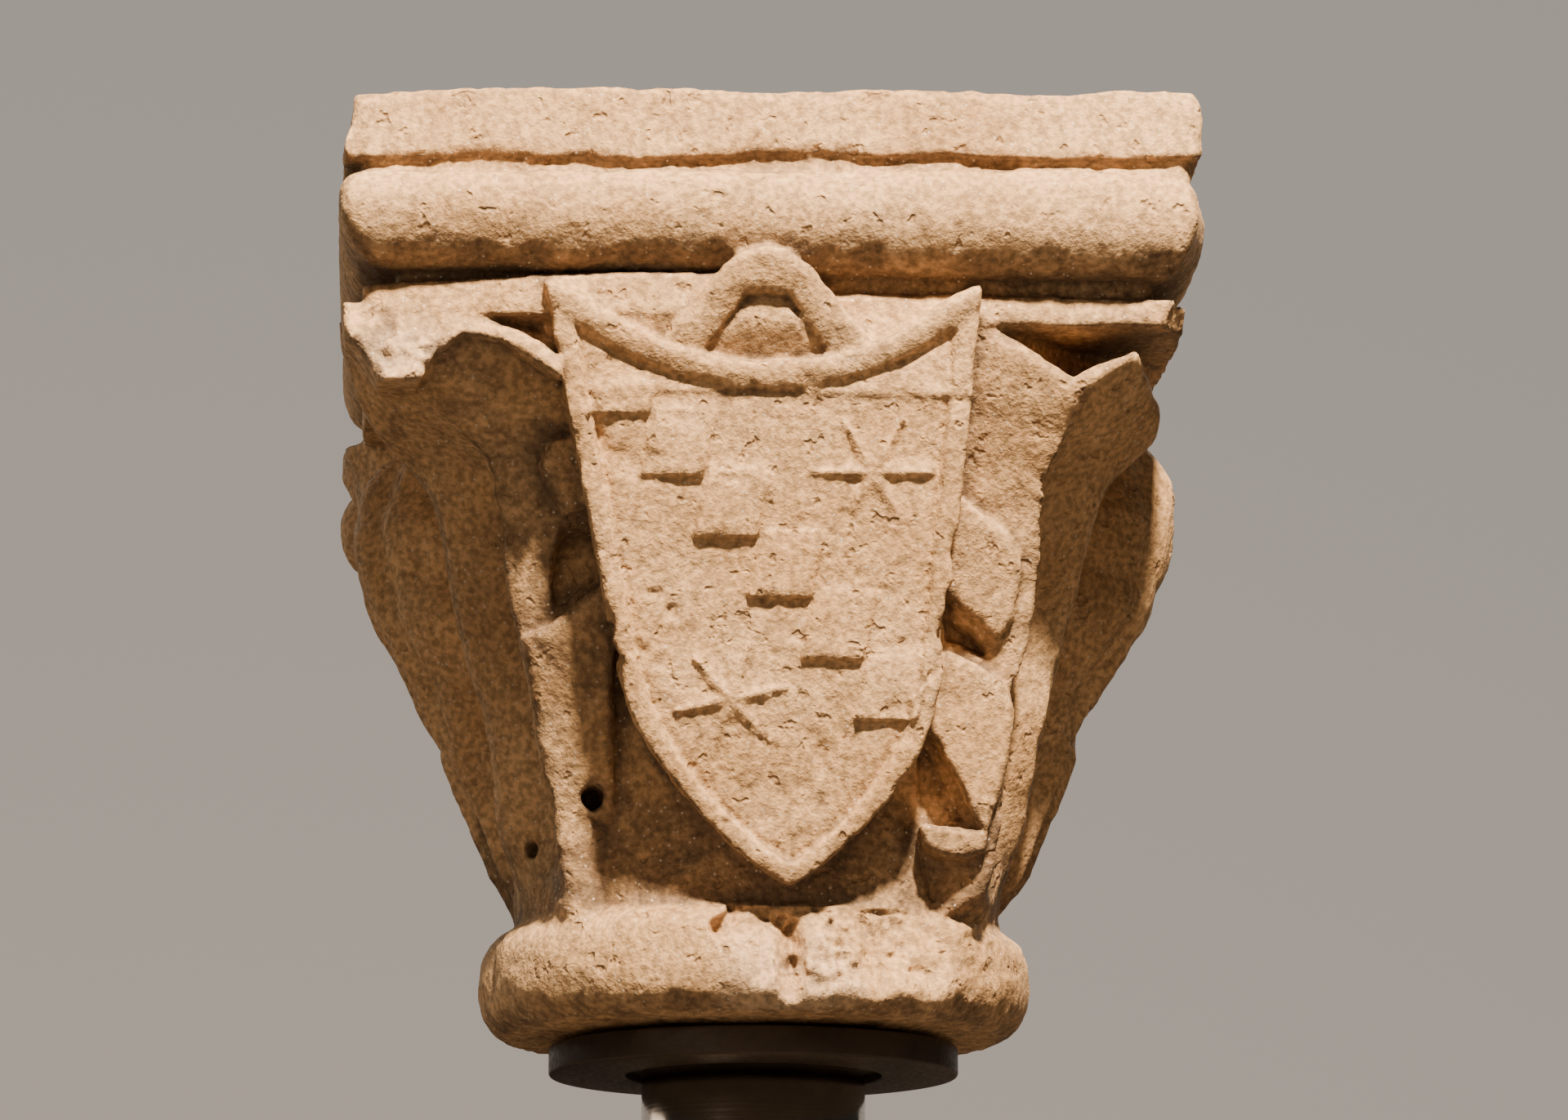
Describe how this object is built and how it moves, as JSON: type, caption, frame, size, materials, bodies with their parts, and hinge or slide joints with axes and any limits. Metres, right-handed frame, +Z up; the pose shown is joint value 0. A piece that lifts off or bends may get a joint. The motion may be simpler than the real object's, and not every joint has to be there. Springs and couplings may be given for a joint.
{
  "type": "column capital",
  "caption": "Worn marble column capital with a square moulded abacus, corner leaves and a carved shield, carried on a plate, a tube and a round foot.",
  "frame": {"origin": "centre of the foot's underside", "axes": "+Z up along the tube, from the foot to the abacus; the face with the carved shield looks along -Y; +X to its right as seen from the front"},
  "size_m": [0.3062, 0.304, 0.4395],
  "materials": {
    "marble": "worn, rough carved marble with a warm cream patina",
    "plate_paint": "dark brown paint, worn at the rim",
    "tube_steel": "polished",
    "foot_paint": "dark brown paint"
  },
  "bodies": {
    "root": {"marble_capital": "marble", "support_disc": "plate_paint", "post_tube": "tube_steel", "foot_plate": "foot_paint"}
  },
  "joints": []
}
